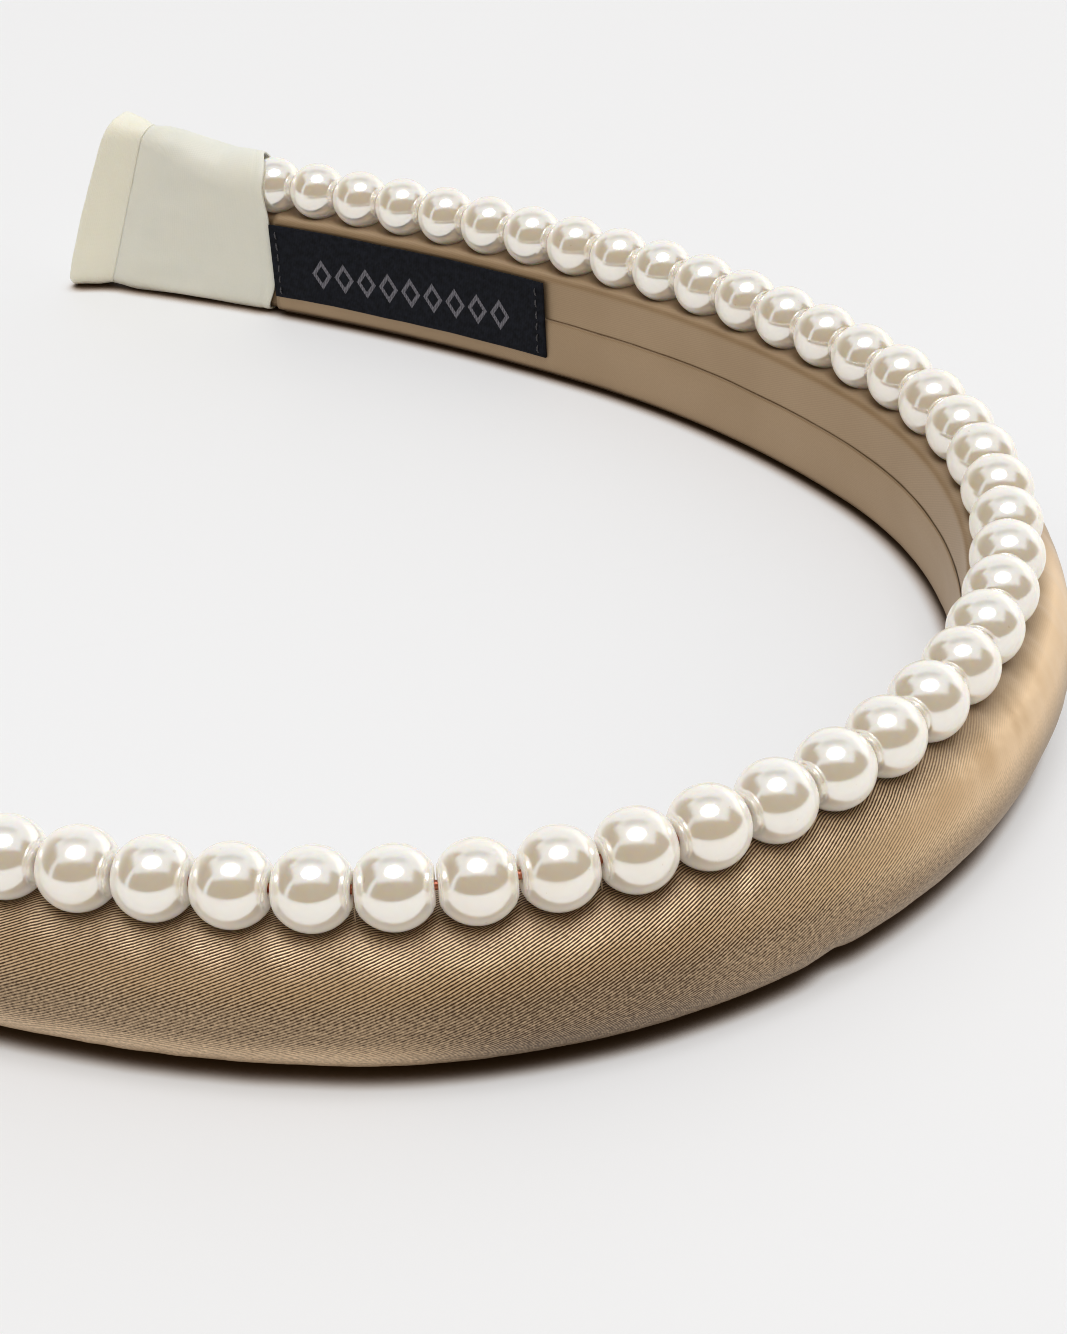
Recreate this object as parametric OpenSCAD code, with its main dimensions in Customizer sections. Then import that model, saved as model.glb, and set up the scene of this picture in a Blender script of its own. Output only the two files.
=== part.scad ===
// Padded satin headband with a string of beads along its upper edge.
// It lies on its lower edge, +Z up. The crown is at +X and the two arms
// open toward -X. The left arm is at -Y and the right arm at +Y.

/* [Band plan] */
// Radius of the bead line round the crown
crown_r = 57; // [52:0.5:64]
// Angle of the crown arc on each side of the apex
crown_deg = 65; // [60:1:70]
// Radius of the bead line at each shoulder
shoulder_r = 120; // [100:5:140]
// Angle of each shoulder arc
shoulder_deg = 21.5; // [18:0.5:24]
// Radius of the bead line along each arm
arm_r = 260; // [220:10:320]

/* [Padding section] */
// Height of the padded band
pad_h = 13.6; // [12:0.2:15]
// Distance from the bead line to the flat inner face
inner_off = 3.7; // [3.4:0.1:4.2]
// Distance from the bead line to the outside of the belly
belly_off = 6.5; // [6:0.1:7]
// Thickness of the satin with its backing
satin_t = 0.5; // [0.4:0.05:0.7]
// Thickness of the springy core strip
core_t = 1.6; // [1.2:0.1:1.8]
// Height of the springy core strip
core_h = 9; // [8:0.5:9.5]
// Height of the lengthwise seam on the inner face
seam_z = 7.9; // [7:0.1:9]

/* [Bead string] */
// Diameter of each bead
bead_d = 7; // [6.6:0.1:7]
// Distance from bead to bead along the wire
bead_pitch = 6.4; // [6.4:0.05:6.6]
// Beads on each half
bead_n = 25; // [20:1:25]
// Height of the bead centres
bead_z = 16.2; // [16:0.1:16.6]
// Diameter of the copper wire
wire_d = 0.8; // [0.6:0.1:0.9]
// Beads between two couching stitches
stitch_every = 3; // [2:1:6]

/* [End tabs] */
// How far the mouth of the wrap laps back over the padding
lap = 2.2; // [2:0.1:2.4]
// Length of the wrap beyond the padding, along its lower edge
wrap_len = 23.5; // [22:0.5:25]
// Length of the turned lip, along its lower edge
lip_len = 6.5; // [5.5:0.5:7]
// Height of the wrap at its mouth
wrap_h = 20.3; // [20.3:0.1:21]
// Height of the wrap where the lip starts
flare_h = 23.2; // [22:0.2:24]
// Height of the lip at its free edge
lip_h = 24.2; // [23.4:0.2:25]
// Slope of the line where the lip starts, back from upright
flare_lean = 19.8; // [16:0.2:21]
// Slope of the lip's free edge, back from upright
lip_lean = 21.8; // [18:0.2:24]
// Thickness of the wrap material
wrap_t = 0.35; // [0.3:0.01:0.36]

/* [Label] */
// Length of the woven label
label_l = 41.5; // [30:0.5:42]
// Height of the woven label
label_h = 9.8; // [9:0.1:10.4]
// Height of the label's lower edge
label_z = 2.6; // [2:0.1:2.8]

/* [Hidden] */
$fn = 48;

// Arc lengths and the angles where each arc ends
len1 = crown_r * crown_deg * PI / 180;
len2 = len1 + shoulder_r * shoulder_deg * PI / 180;
ang2 = crown_deg + shoulder_deg;
// The padding ends just past the last bead's centre
last_bead = (bead_n - 0.5) * bead_pitch;
pad_end = last_bead + 1.2;
ang3 = ang2 + (pad_end - len2) / arm_r * 180 / PI;
// Half of the joint gap between the two halves, as an angle
gap_deg = 0.15;
half_h = pad_h / 2;
small = 0.05;
splice = 0.06;
$g = 0;
plan_n = 72;
start_s = crown_r * gap_deg * PI / 180;
core_in = -inner_off + satin_t + 0.5;
// How far the drawn-in end of the satin lies inside the padding's surface
neck = 0.4;
sleeve = 5;
tip_in = -inner_off - 0.4;
tip_out = tip_in + 4.5;
// Where the full section of the padding ends, just inside the mouth
full_end = pad_end - lap - 0.05;
label_end = full_end - 0.2;

function unit(a) = [cos(a), sin(a), 0];
// Centres of the three arcs, for the bead line's apex at x = 0
cen1 = [-crown_r, 0, 0];
cen2 = cen1 + (crown_r - shoulder_r) * unit(crown_deg);
cen3 = cen2 + (shoulder_r - arm_r) * unit(ang2);
end_pt = cen3 + arm_r * unit(ang3);
// Direction angle, centre and radius at arc length s
function turn(s) = s < len1 ? s / crown_r * 180 / PI :
    s < len2 ? crown_deg + (s - len1) / shoulder_r * 180 / PI :
    ang2 + (s - len2) / arm_r * 180 / PI;
function cen(s) = s < len1 ? cen1 : s < len2 ? cen2 : cen3;
function rad(s) = s < len1 ? crown_r : s < len2 ? shoulder_r : arm_r;

// Shift that puts the origin under the middle of the whole part. The far
// point is on the lower outer corner of the lip's free edge
lip_out = tip_out + 1;
lip_r = 2.6;
slope = sin(lip_lean) * sin(ang3);
corner = lip_r * (norm([cos(ang3), slope]) - slope) - (lip_out - lip_r) * cos(ang3);
x_min = end_pt[0] - (wrap_len + lip_len) * sin(ang3) - corner;
x_mid = (x_min + belly_off) / 2;

module half(side) {
    translate([-x_mid, 0, 0])
        mirror([0, side < 0 ? 1 : 0, 0])
            children();
}

// Sweeps a 2D section round one arc; x is the offset outward from the bead line
module arc(centre, radius, from, to) {
    translate(centre)
        rotate([0, 0, from])
            rotate_extrude(angle = to - from, $fn = 96)
                translate([radius, 0])
                    children();
}

// Sweeps a section along the whole half band. The middle arc is a hair
// slimmer ($g) and reaches into its neighbours, so that they join as one solid
module along(to = pad_end) {
    arc(cen1, crown_r, gap_deg, crown_deg, $g = 0) children();
    arc(cen2, shoulder_r, crown_deg - 0.4, ang2 + 0.4, $g = splice) children();
    arc(cen3, arm_r, ang2, turn(to), $g = 0) children();
}

// Plan outline of a strip between two offsets, from arc length s0 to s1
function edge(off, s0, s1) = [for (i = [0 : plan_n])
    let (s = s0 + (s1 - s0) * i / plan_n)
    let (p = cen(s) + (rad(s) + off) * unit(turn(s))) [p[0], p[1]]];
function backward(list) = [for (i = [len(list) - 1 : -1 : 0]) list[i]];

module strip(in_off, out_off, z0, z1, s0, s1) {
    translate([0, 0, z0])
        linear_extrude(z1 - z0)
            polygon(concat(edge(out_off, s0, s1), backward(edge(in_off, s0, s1))));
}

// Frame at arc length s: X outward, Y toward the tip
module at(s) {
    translate(cen(s) + rad(s) * unit(turn(s)))
        rotate([0, 0, turn(s)])
            children();
}

// Frame at the mouth of the wrap
module at_end() {
    translate(end_pt)
        rotate([0, 0, ang3])
            children();
}

// Straight run of a section from y0, length len, in the end frame
module run(y0, len) {
    translate([0, y0 + len, 0])
        rotate([90, 0, 0])
            linear_extrude(len)
                children();
}

// Thin slice of a section at y0 in the end frame, leaning back as it rises
module slice(y0, lean) {
    translate([0, y0, 0.02 * sin(lean)])
        rotate([90 + lean, 0, 0])
            linear_extrude(0.02)
                children();
}

// D-shaped section, shrunk by g all round
module d_section(g) {
    translate([belly_off - half_h, half_h])
        intersection() {
            circle(half_h - g);
            translate([0, -half_h])
                square([half_h, pad_h]);
        }
    translate([-inner_off + g, g])
        rounded(belly_off - half_h + inner_off - g + small, pad_h - 2 * g, 1.2 - g);
}

// Rectangle whose two corners at x = 0 are rounded
module rounded(w, h, r) {
    translate([r, 0])
        square([w - r, h]);
    translate([0, r])
        square([w, h - 2 * r]);
    for (y = [r, h - r])
        translate([r, y])
            circle(r);
}

// D-section with the channel that the beads sit in
module padded(g) {
    difference() {
        d_section(g);
        translate([0, bead_z])
            circle(bead_d / 2 + 0.06 + g);
    }
}

// Springy strip that grips the head, with a paddle inside the end wrap
module core(side) {
    color("ivory")
        half(side) {
            strip(core_in, core_in + core_t, half_h - core_h / 2, half_h + core_h / 2,
                start_s, pad_end);
            at_end()
                translate([core_in + small, 0, 0])
                    rotate([90, 0, 90])
                        linear_extrude(core_t - 2 * small)
                            polygon([[-1, half_h - core_h / 2 + small],
                                [5, half_h - core_h / 2 + small],
                                [wrap_len - 6, 2.6], [wrap_len - 8, flare_h - 8],
                                [5, half_h + core_h / 2 - small],
                                [-1, half_h + core_h / 2 - small]]);
        }
}

// Room round the core strip, c wider on every side
module core_slot(c) {
    translate([core_in - c, half_h - core_h / 2 - c])
        square([core_t + 2 * c, core_h + 2 * c]);
}

module foam_section() {
    difference() {
        padded(satin_t + small + $g);
        core_slot(0.1 + $g);
    }
}

module foam(side) {
    color("khaki")
        half(side)
            along(full_end - 0.6) foam_section();
}

module cover_section() {
    difference() {
        padded($g);
        padded(satin_t - $g);
    }
}

module neck_section() {
    difference() {
        padded(neck);
        padded(neck + 0.46);
        core_slot(0.12);
    }
}

// The satin tube; its last part is drawn in so that it tucks into the wrap
module cover(side) {
    color("tan")
        half(side) {
            along(full_end) cover_section();
            at_end()
                run(full_end - pad_end - 0.5, sleeve + lap)
                    neck_section();
        }
}

// Satin edge lapped over the inner face, its free edge making the seam line
module seam_flap(side) {
    color("peru")
        half(side)
            strip(-inner_off - 0.34, -inner_off - 0.02, 1.2, seam_z, start_s, full_end);
}

// Mouth of the wrap: round over the beads, full at the belly, flat inside
module mouth_section(g) {
    hull() {
        translate([tip_in + 4, wrap_h - 4])
            circle(4 - g, $fn = 40);
        translate([belly_off - half_h, half_h])
            intersection() {
                circle(half_h - g, $fn = 64);
                translate([0, -half_h])
                    square([half_h, pad_h]);
            }
        translate([tip_in + 1.5, 1.5])
            circle(1.5 - g, $fn = 32);
    }
}

// Rounded rectangle from x0 to x1 and from 0 to z1, shrunk by g
module flat_section(g, x0, x1, z1, r) {
    hull()
        for (x = [x0 + r, x1 - r])
            for (z = [r, z1 - r])
                translate([x, z])
                    circle(r - g, $fn = 32);
}

// Flat section where the lip starts, shrunk by g
module flare_section(g) {
    flat_section(g, tip_in, tip_out, flare_h / cos(flare_lean), 2.1);
}

// Sleeve over the padding's end that flares to the flat tip, shrunk by g.
// e lengthens it at both ends
module wrap_solid(g, e) {
    run(-lap - e, lap + sleeve + e)
        mouth_section(g);
    hull() {
        run(sleeve, 0.02)
            mouth_section(g);
        slice(wrap_len - 0.03 + e, flare_lean)
            flare_section(g);
    }
}

module end_wrap(side) {
    color("cornsilk")
        half(side)
            at_end()
                difference() {
                    wrap_solid(0, 0);
                    wrap_solid(wrap_t, small);
                }
}

// Turned lip at the tip of the wrap, hollow from its free edge
module lip_solid(g, y0, y1) {
    hull() {
        slice(y0, flare_lean)
            flare_section(g);
        slice(y1, lip_lean)
            flat_section(g, tip_in - 1, lip_out, lip_h / cos(lip_lean), lip_r);
    }
}

module wrap_lip(side) {
    color("lightyellow")
        half(side)
            at_end()
                difference() {
                    lip_solid(0, wrap_len + 0.03, wrap_len + lip_len);
                    lip_solid(wrap_t + 0.7, wrap_len + 3, wrap_len + lip_len + 0.1);
                }
}

module wire(side) {
    color("sienna")
        half(side) {
            along()
                translate([0, bead_z])
                    circle(wire_d / 2 - $g);
            at_end()
                run(-0.5, 9)
                    translate([0, bead_z])
                        circle(wire_d / 2 - splice);
        }
}

// Tube crimped on the wire's end, hidden in the wrap
module wire_crimp(side) {
    color("gray")
        half(side)
            at_end()
                run(5, 3.6)
                    translate([0, bead_z])
                        difference() {
                            circle(1.2);
                            circle(wire_d / 2 + 0.02);
                        }
}

// One bead: a sphere flattened at its hole, with a raised neck at each end
module bead() {
    rotate([90, 0, 0])
        rotate_extrude()
            difference() {
                union() {
                    intersection() {
                        circle(bead_d / 2);
                        translate([0, -3])
                            square([bead_d, 6]);
                    }
                    translate([0, -3.1])
                        square([1.15, 6.2]);
                }
                translate([-bead_d, -bead_d])
                    square([bead_d + wire_d / 2 + 0.15, 2 * bead_d]);
                translate([-bead_d, -bead_d])
                    square([bead_d, 2 * bead_d]);
            }
}

module beads(side) {
    color("floralwhite")
        half(side)
            for (i = [0 : bead_n - 1])
                at((i + 0.5) * bead_pitch)
                    translate([0, 0, bead_z])
                        bead();
}

// Thread loop round the wire in the gap between two beads, down to the satin
module couching() {
    translate([0, 0, bead_z - 1.08])
        rotate([90, 0, 0])
            difference() {
                cylinder(h = 0.2, r = 2.47, center = true);
                cylinder(h = 0.4, r = 2.27, center = true);
            }
}

module stitches(side) {
    color("burlywood")
        half(side)
            for (i = [stitch_every : stitch_every : bead_n - 1])
                at(i * bead_pitch)
                    couching();
}

// Woven label on the inner face, its end against the wrap
module label() {
    color("black")
        half(1)
            strip(-inner_off - 0.74, -inner_off - 0.36, label_z, label_z + label_h,
                label_end - label_l, label_end);
}

// Stitches along the label's far edge and its edge by the wrap
module label_stitches() {
    color("dimgray")
        half(1)
            for (s = [label_end - label_l + 1, label_end - 1])
                for (k = [0 : 5])
                    at(s)
                        translate([-inner_off - 0.92, -0.15, label_z + 0.8 + k * 1.5])
                            cube([0.16, 0.3, 0.9]);
}

core(-1);  // core_left
core(1);  // core_right
foam(-1);  // foam_left
foam(1);  // foam_right
cover(-1);  // cover_left
cover(1);  // cover_right
seam_flap(-1);  // seam_flap_left
seam_flap(1);  // seam_flap_right
end_wrap(-1);  // end_wrap_left
end_wrap(1);  // end_wrap_right
wrap_lip(-1);  // wrap_lip_left
wrap_lip(1);  // wrap_lip_right
wire(-1);  // wire_left
wire(1);  // wire_right
wire_crimp(-1);  // wire_crimp_left
wire_crimp(1);  // wire_crimp_right
beads(-1);  // beads_left
beads(1);  // beads_right
stitches(-1);  // stitches_left
stitches(1);  // stitches_right
label();
label_stitches();
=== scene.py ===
"""Padded satin headband with a string of beads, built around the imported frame."""
import math
import random

import bpy
import numpy as np
from mathutils import Matrix, Vector, noise


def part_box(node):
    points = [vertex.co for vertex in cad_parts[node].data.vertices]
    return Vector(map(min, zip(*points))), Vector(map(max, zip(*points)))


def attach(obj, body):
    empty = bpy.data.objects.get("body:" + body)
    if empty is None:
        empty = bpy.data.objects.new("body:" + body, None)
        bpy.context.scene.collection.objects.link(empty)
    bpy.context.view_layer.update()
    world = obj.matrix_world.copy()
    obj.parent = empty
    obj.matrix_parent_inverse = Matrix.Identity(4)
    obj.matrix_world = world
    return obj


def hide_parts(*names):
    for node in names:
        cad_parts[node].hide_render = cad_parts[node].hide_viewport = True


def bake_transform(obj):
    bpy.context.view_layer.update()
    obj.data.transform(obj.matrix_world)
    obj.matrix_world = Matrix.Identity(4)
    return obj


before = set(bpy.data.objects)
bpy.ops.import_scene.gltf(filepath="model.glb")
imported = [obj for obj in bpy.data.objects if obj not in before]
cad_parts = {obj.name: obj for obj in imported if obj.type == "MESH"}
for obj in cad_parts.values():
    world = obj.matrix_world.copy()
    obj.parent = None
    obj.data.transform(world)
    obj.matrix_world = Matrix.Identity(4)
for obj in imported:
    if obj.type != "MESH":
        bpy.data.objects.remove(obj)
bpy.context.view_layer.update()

MM = 0.001
rng = random.Random(7)

# ---------------------------------------------------------------- dimensions, mm
# The bead line's three arcs a side: their radii, the turn of the first two, and where they meet
CROWN_R, SHOULDER_R, ARM_R = 57.0, 120.0, 260.0
CROWN_A, SHOULDER_A = math.radians(65), math.radians(21.5)
S1 = CROWN_R * CROWN_A
S2 = S1 + SHOULDER_R * SHOULDER_A
PITCH, BEAD_R, BEAD_Z, BEADS = 6.4, 3.5, 16.2, 25  # so many beads on each half
PAD_H, INNER, BELLY = 13.6, 3.7, 6.5  # height, and how far it stands in and out of the bead line
HALF = PAD_H / 2
COVER_T, WIRE_R, THREAD_R = 0.4, 0.4, 0.055
PAD_END = (BEADS - 0.5) * PITCH + 1.2  # arc length from the crown
SEAM_Z = 7.9
# The wrap laps the padding by LAP and keeps its round section as far as SLEEVE past it
LAP, WRAP_LEN, LIP_LEN, SLEEVE = 2.2, 23.5, 5.6, 5.0
WRAP_H, FLARE_H, LIP_H, WRAP_T = 20.3, 23.2, 24.2, 0.35
FLARE_LEAN, LIP_LEAN = math.radians(19.8), math.radians(21.8)
TIP_IN, TIP_OUT, TIP_R = -4.1, 0.4, 200.0  # the flat end's faces, and the curve it turns in by
ROOF_CUT = 2.8  # how far the wrap's mouth is cut back past the last bead
VALLEY = 0.42  # depth of the crease between wrap and lip
ROLL = 0.5  # radius of the lip's rolled edge
FULL_END = PAD_END - LAP - 0.05
LABEL_L, LABEL_H, LABEL_Z, LABEL_T, LABEL_LIFT = 41.5, 9.8, 2.6, 0.36, 0.25
LABEL_END = FULL_END - 0.2
LOZENGE = 3.4  # pitch of the label's motif
SIDES = {-1: "left", 1: "right"}
# The apex of the bead line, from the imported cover's outermost point
APEX_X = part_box("cover_right")[1][0] / MM - BELLY


def smooth(a, b, x):
    t = np.clip((np.asarray(x, float) - a) / (b - a), 0, 1)
    return t * t * (3 - 2 * t)


# ---------------------------------------------------------------- the band's plan
def plan(s):
    """Bead line point, outward normal and tangent at arc lengths s, in mm."""
    s = np.atleast_1d(np.asarray(s, float))
    a, side = np.abs(s), np.where(s < 0, -1.0, 1.0)

    def unit(t):
        return np.stack([np.cos(t), np.sin(t)], -1)

    c1 = np.array([-CROWN_R, 0.0])
    c2 = c1 + (CROWN_R - SHOULDER_R) * unit(np.array(CROWN_A))
    c3 = c2 + (SHOULDER_R - ARM_R) * unit(np.array(CROWN_A + SHOULDER_A))
    b = np.minimum(a, PAD_END)
    in1, in2 = (b < S1), (b < S2)
    turn = np.where(in1, b / CROWN_R, np.where(in2, CROWN_A + (b - S1) / SHOULDER_R,
                                               CROWN_A + SHOULDER_A + (b - S2) / ARM_R))
    centre = np.where(in1[:, None], c1, np.where(in2[:, None], c2, c3))
    radius = np.where(in1, CROWN_R, np.where(in2, SHOULDER_R, ARM_R))
    n = unit(turn)
    t = np.stack([-n[:, 1], n[:, 0]], -1)
    past = np.maximum(a - PAD_END, 0)[:, None]
    p = centre + radius[:, None] * n + past * t - past ** 2 / (2 * TIP_R) * n
    flip = np.stack([np.ones_like(side), side], -1)
    p, n, t = p * flip, n * flip, t * flip * side[:, None]
    p[:, 0] += APEX_X
    return p, n, t


def place(s, off, z):
    """Points in metres at arc length s, offset off outward and height z (arrays that broadcast)."""
    s, off, z = np.broadcast_arrays(np.asarray(s, float), off, z)
    p, n, _ = plan(s.ravel())
    xy = p + n * off.ravel()[:, None]
    return np.concatenate([xy, z.ravel()[:, None]], 1).reshape(s.shape + (3,)) * MM


# ---------------------------------------------------------------- mesh helpers
def mesh_object(name, verts, faces, uvs=None, material=None):
    me = bpy.data.meshes.new(name)
    me.from_pydata([tuple(v) for v in verts], [], [tuple(int(k) for k in f) for f in faces])
    me.validate()
    if uvs is not None:
        layer = me.uv_layers.new(name="weave")
        layer.data.foreach_set("uv", np.asarray(uvs, np.float32).ravel())
    me.update()
    me.shade_smooth()
    ob = bpy.data.objects.new(name, me)
    bpy.context.scene.collection.objects.link(ob)
    if material:
        me.materials.append(material)
    return ob


def grid_faces(rows, cols, base=0, flip=False):
    """Quads of a grid of points, closed round its columns."""
    i, j = np.meshgrid(np.arange(rows - 1), np.arange(cols), indexing="ij")
    k = (j + 1) % cols
    quad = np.stack([i * cols + j, i * cols + k, (i + 1) * cols + k, (i + 1) * cols + j], -1)
    quad = quad.reshape(-1, 4) + base
    return quad[:, ::-1] if flip else quad


def grid_uvs(us, vs, total, flip=False):
    """Loop UVs for grid_faces; vs runs 0..total round the section."""
    cols = len(vs)
    i, j = np.meshgrid(np.arange(len(us) - 1), np.arange(cols), indexing="ij")
    v0 = vs[j]
    v1 = np.where(j + 1 == cols, total, vs[(j + 1) % cols])
    quad = np.stack([np.stack([us[i], v0], -1), np.stack([us[i], v1], -1),
                     np.stack([us[i + 1], v1], -1), np.stack([us[i + 1], v0], -1)], -2)
    quad = quad.reshape(-1, 4, 2)
    return (quad[:, ::-1] if flip else quad).reshape(-1, 2)


def loft(name, rings, us, vs, total, material):
    """Closed-section loft of rings (rows, cols, 3), each end closed by a fan round its middle."""
    rows, cols = rings.shape[:2]
    verts = [rings.reshape(-1, 3)]
    faces = list(grid_faces(rows, cols))
    uvs = [grid_uvs(us, vs, total)]
    for end, row in enumerate((0, rows - 1)):
        verts.append(rings[row].mean(0)[None])
        for j in range(cols):
            a, b = row * cols + j, row * cols + (j + 1) % cols
            faces.append((a, b, rows * cols + end) if end else (b, a, rows * cols + end))
            uvs.append(np.array([[us[row], vs[j]]] * 3))
    return mesh_object(name, np.concatenate(verts), faces, np.concatenate(uvs), material)


def sample_path(points, count):
    """A closed 2D path as count evenly spaced points, with their arc lengths and the total."""
    pts = np.asarray(points, float)
    closed = np.vstack([pts, pts[:1]])
    step = np.linalg.norm(np.diff(closed, axis=0), axis=1)
    run = np.concatenate([[0], np.cumsum(step)])
    at = np.linspace(0, run[-1], count, endpoint=False)
    out = np.stack([np.interp(at, run, closed[:, k]) for k in (0, 1)], -1)
    return out, at, run[-1]


def bow(cx, cy, r, a0, a1, n=24):
    """Arc of n points from a0 to a1 degrees."""
    t = np.radians(np.linspace(a0, a1, n))
    return np.stack([cx + r * np.cos(t), cy + r * np.sin(t)], -1)


def hull_path(circles, n=720):
    """Clockwise outline of the hull of circles (x, y, r), from the lower inner corner."""
    t = np.radians(225) - np.linspace(0, 2 * math.pi, n, endpoint=False)
    d = np.stack([np.cos(t), np.sin(t)], -1)
    c = np.array([(x, y) for x, y, _ in circles], float)
    r = np.array([q for _, _, q in circles], float)
    best = np.argmax(d @ c.T + r, axis=1)
    return c[best] + r[best][:, None] * d


def normals_2d(path):
    """Outward normals of a clockwise closed path."""
    t = np.roll(path, -1, 0) - np.roll(path, 1, 0)
    t /= np.linalg.norm(t, axis=1)[:, None]
    return np.stack([-t[:, 1], t[:, 0]], -1)


def section_grid(s, path):
    """Arc length, offset and height of every point of a section path carried along s."""
    return (np.repeat(s[:, None], len(path), 1), np.repeat(path[None, :, 0], len(s), 0),
            np.repeat(path[None, :, 1], len(s), 0))


def noise_grid(a, b, seed, octaves=2):
    """Smooth noise in -1..1 on arrays a, b."""
    a, b = np.broadcast_arrays(a, b)
    out = np.empty(a.size)
    for i, (x, y) in enumerate(zip(a.ravel(), b.ravel())):
        v, amp = 0.0, 1.0
        for o in range(octaves):
            v += amp * noise.noise(Vector((x * 2 ** o, y * 2 ** o, seed + 3.7 * o)))
            amp *= 0.5
        out[i] = v
    return out.reshape(a.shape)


# ---------------------------------------------------------------- material helpers
class Mat:
    """A node material, with short names for the nodes used here."""

    def __init__(self, name):
        self.m = bpy.data.materials.new(name)
        self.m.use_nodes = True
        self.nt = self.m.node_tree
        self.bsdf = self.nt.nodes["Principled BSDF"]

    def node(self, kind, **settings):
        n = self.nt.nodes.new(kind)
        for k, v in settings.items():
            setattr(n, k, v)
        return n

    def wire(self, src, dst):
        self.nt.links.new(src, dst)

    def put(self, sock, value):
        if hasattr(value, "links"):
            self.wire(value, sock)
        else:
            sock.default_value = value

    def math(self, op, a, b=None, clamp=False):
        n = self.node("ShaderNodeMath", operation=op, use_clamp=clamp)
        self.put(n.inputs[0], a)
        if b is not None:
            self.put(n.inputs[1], b)
        return n.outputs[0]

    def add(self, a, b, clamp=False):
        return self.math("ADD", a, b, clamp)

    def sub(self, a, b):
        return self.math("SUBTRACT", a, b)

    def mul(self, a, b):
        return self.math("MULTIPLY", a, b)

    def wave(self, value, pitch):
        return self.math("SINE", self.mul(value, 2 * math.pi / pitch))

    def occlusion(self, distance, samples):
        n = self.node("ShaderNodeAmbientOcclusion", samples=samples)
        n.inputs["Distance"].default_value = distance
        return n.outputs["AO"]

    def ramp(self, value, lo, hi, out_lo=0.0, out_hi=1.0, kind="SMOOTHSTEP"):
        n = self.node("ShaderNodeMapRange", interpolation_type=kind)
        for k, v in enumerate((value, lo, hi, out_lo, out_hi)):
            self.put(n.inputs[k], v)
        return n.outputs[0]

    def mix(self, fac, a, b):
        n = self.node("ShaderNodeMix", data_type="RGBA")
        self.put(n.inputs[0], fac)
        self.put(n.inputs[6], a)
        self.put(n.inputs[7], b)
        return n.outputs[2]

    def noise(self, coords, scale, detail=3.0, rough=0.5):
        n = self.node("ShaderNodeTexNoise")
        self.wire(coords, n.inputs["Vector"])
        n.inputs["Scale"].default_value = scale
        n.inputs["Detail"].default_value = detail
        n.inputs["Roughness"].default_value = rough
        return n.outputs["Fac"]

    def uv(self):
        n = self.node("ShaderNodeUVMap")
        n.uv_map = "weave"
        sep = self.node("ShaderNodeSeparateXYZ")
        self.wire(n.outputs[0], sep.inputs[0])
        return n.outputs[0], sep.outputs[0], sep.outputs[1]

    def object_coords(self):
        return self.node("ShaderNodeTexCoord").outputs["Object"]

    def bump(self, height, distance, strength=1.0, below=None):
        n = self.node("ShaderNodeBump")
        n.inputs["Strength"].default_value = strength
        n.inputs["Distance"].default_value = distance
        self.wire(height, n.inputs["Height"])
        if below is not None:
            self.wire(below, n.inputs["Normal"])
        return n.outputs[0]

    def set(self, **values):
        for k, v in values.items():
            self.put(self.bsdf.inputs[k.replace("_", " ")], v)
        return self


def rgba(r, g, b):
    return (r, g, b, 1.0)


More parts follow.
